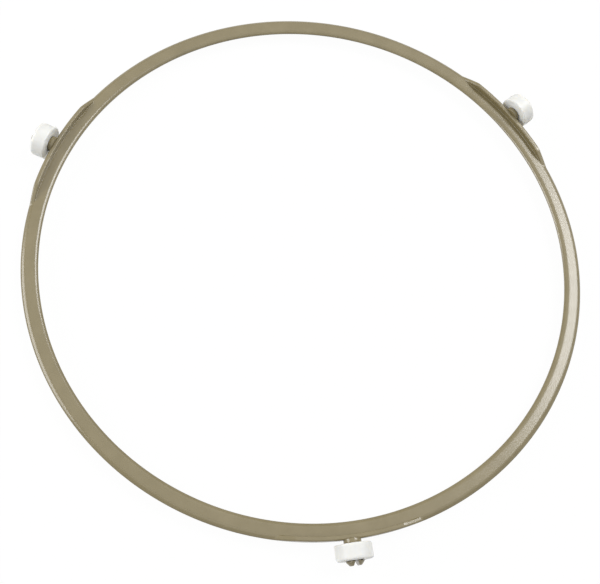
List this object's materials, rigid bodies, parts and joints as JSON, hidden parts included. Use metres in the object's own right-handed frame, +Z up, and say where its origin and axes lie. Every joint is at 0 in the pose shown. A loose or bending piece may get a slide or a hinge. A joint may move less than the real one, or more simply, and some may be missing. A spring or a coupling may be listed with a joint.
{
  "type": "microwave roller ring",
  "caption": "Thin flat moulded ring with free-running rollers on split snap-in pins; it rolls on a microwave oven's floor and carries the glass turntable tray.",
  "frame": {"origin": "on the ring's axis at the level of the oven floor that the rollers stand on", "axes": "+Z up along the ring's axis, -Y towards roller_1, +X to the right of it seen from the front"},
  "size_m": [0.222, 0.2309, 0.0135],
  "materials": {
    "ring_plastic": "satin",
    "roller_plastic": "satin"
  },
  "bodies": {
    "ring": {"ring": "ring_plastic"},
    "roller_1": {"roller_1": "roller_plastic"},
    "roller_2": {"roller_2": "roller_plastic"},
    "roller_3": {"roller_3": "roller_plastic"}
  },
  "joints": [
    {"name": "roller_1_spin", "type": "hinge", "parent": "ring", "child": "roller_1", "pos_m": [0, -0.11525, 0.00675], "axis": [0, -1, 0], "continuous": true},
    {"name": "roller_2_spin", "type": "hinge", "parent": "ring", "child": "roller_2", "pos_m": [0.09981, 0.05763, 0.00675], "axis": [0.866, 0.5, 0], "continuous": true},
    {"name": "roller_3_spin", "type": "hinge", "parent": "ring", "child": "roller_3", "pos_m": [-0.09981, 0.05763, 0.00675], "axis": [-0.866, 0.5, 0], "continuous": true}
  ]
}
